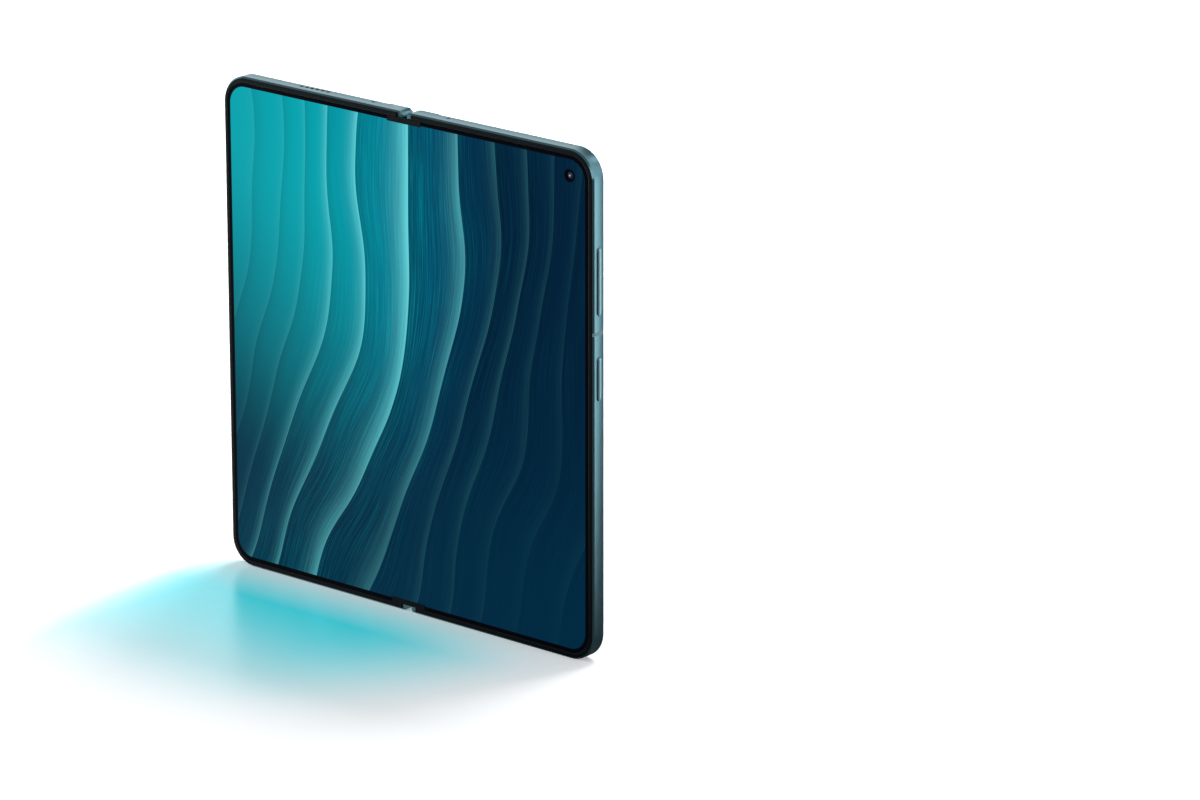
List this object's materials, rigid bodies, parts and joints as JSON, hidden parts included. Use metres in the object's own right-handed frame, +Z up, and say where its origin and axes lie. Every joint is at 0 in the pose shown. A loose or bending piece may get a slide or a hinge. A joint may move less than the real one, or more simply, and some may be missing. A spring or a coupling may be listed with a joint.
{
  "type": "foldable smartphone",
  "caption": "Book-style foldable phone: two framed halves on a geared two-axis hinge, with a bending inner screen and a cover screen.",
  "frame": {"origin": "middle of the open phone's bottom edge, in the plane it stands on; in depth, midway between the rims and the lens rings", "axes": "+Z up the phone's height, +X towards the half with the keys, -Y out of the inner screen"},
  "size_m": [0.1435, 0.0072, 0.153],
  "materials": {
    "teal_aluminium": "anodised teal-grey, satin blasted, bright bevels",
    "antenna_plastic": "satin, dyed close to the frame",
    "rim_black": "soft-touch black",
    "inner_screen": "gloss polymer over a lit screen, teal to navy",
    "cover_screen": "gloss glass over a lit screen, teal to navy",
    "screen_stack": "black laminated screen panel",
    "back_glass": "matt etched teal glass",
    "lens_glass": "coated gloss",
    "lens_metal": "turned, bright bevel",
    "camera_black": "black, fine matt",
    "flash_yellow": "frosted over a phosphor",
    "battery_foil": "black pouch foil",
    "board_green": "solder mask",
    "steel": "fine brushed",
    "shield_tin": "tinned",
    "plate_magnesium": "die-cast, sealed",
    "gear_brass": "sintered",
    "polyimide": "amber film",
    "speaker_black": "black moulded",
    "magnet_nickel": "nickel plated"
  },
  "bodies": {
    "hinge_spine": {"spine_cover": "teal_aluminium", "hinge_carriers": "steel", "friction_washers": "steel", "flexible_screen": "inner_screen", "fold_strips": "rim_black", "fold_cable": "polyimide"},
    "right_half": {"right_frame": "teal_aluminium", "right_mid_plate": "plate_magnesium", "right_screen_panel": "inner_screen", "right_rim": "rim_black", "back_panel": "back_glass", "camera_island": "teal_aluminium", "lens_rings": "lens_metal", "lens_glasses": "lens_glass", "main_camera": "camera_black", "wide_camera": "camera_black", "tele_camera": "camera_black", "flash_window": "flash_yellow", "inner_camera": "camera_black", "right_battery": "battery_foil", "main_board": "board_green", "main_board_shields": "shield_tin", "port_board": "board_green", "charging_port": "steel", "port_tongue": "camera_black", "bottom_speaker": "speaker_black", "vibration_motor": "steel", "key_switch_strip": "polyimide", "right_magnet": "magnet_nickel", "right_screws": "steel", "right_antenna_inlays": "antenna_plastic", "right_hinge_shafts": "steel", "right_hinge_arms": "steel", "right_arm_screws": "steel"},
    "left_half": {"left_hinge_shafts": "steel", "left_hinge_arms": "steel", "left_arm_screws": "steel", "left_frame": "teal_aluminium", "left_mid_plate": "plate_magnesium", "left_screen_panel": "inner_screen", "left_rim": "rim_black", "cover_glass": "cover_screen", "cover_screen_panel": "screen_stack", "cover_camera": "camera_black", "left_battery": "battery_foil", "sub_board": "board_green", "sub_board_shield": "shield_tin", "card_reader": "steel", "top_speaker": "speaker_black", "left_magnet": "magnet_nickel", "left_screws": "steel", "left_antenna_inlays": "antenna_plastic"},
    "right_idlers": {"right_idler_gears": "gear_brass"},
    "left_idlers": {"left_idler_gears": "gear_brass"},
    "volume_key": {"volume_key": "teal_aluminium"},
    "power_key": {"power_key": "teal_aluminium"},
    "card_tray": {"card_tray": "teal_aluminium"}
  },
  "joints": [
    {"name": "fold", "type": "hinge", "parent": "hinge_spine", "child": "right_half", "pos_m": [0.00248, -0.00122, 0], "axis": [0, 0, -1], "range_deg": [0, 90], "deforming": ["flexible_screen", "fold_strips", "fold_cable"]},
    {"name": "left_fold", "type": "hinge", "parent": "hinge_spine", "child": "left_half", "pos_m": [-0.00248, -0.00122, 0], "axis": [0, 0, 1], "range_deg": [0, 90]},
    {"name": "right_idler_spin", "type": "hinge", "parent": "hinge_spine", "child": "right_idlers", "pos_m": [0.00082, -0.00122, 0], "axis": [0, 0, 1], "range_deg": [0, 90]},
    {"name": "left_idler_spin", "type": "hinge", "parent": "hinge_spine", "child": "left_idlers", "pos_m": [-0.00082, -0.00122, 0], "axis": [0, 0, 1], "range_deg": [-90, 0]},
    {"name": "volume_press", "type": "slide", "parent": "right_half", "child": "volume_key", "axis": [-1, 0, 0], "range_m": [0, 0.00025], "stiffness_N_per_m": 4000},
    {"name": "power_press", "type": "slide", "parent": "right_half", "child": "power_key", "axis": [-1, 0, 0], "range_m": [0, 0.00025], "stiffness_N_per_m": 4000},
    {"name": "tray_slide", "type": "slide", "parent": "left_half", "child": "card_tray", "axis": [-1, 0, 0], "range_m": [0, 0.014]}
  ],
  "couplings": [
    {"joint": "left_fold", "follows": "fold", "ratio": 1},
    {"joint": "right_idler_spin", "follows": "fold", "ratio": 1},
    {"joint": "left_idler_spin", "follows": "fold", "ratio": -1}
  ]
}
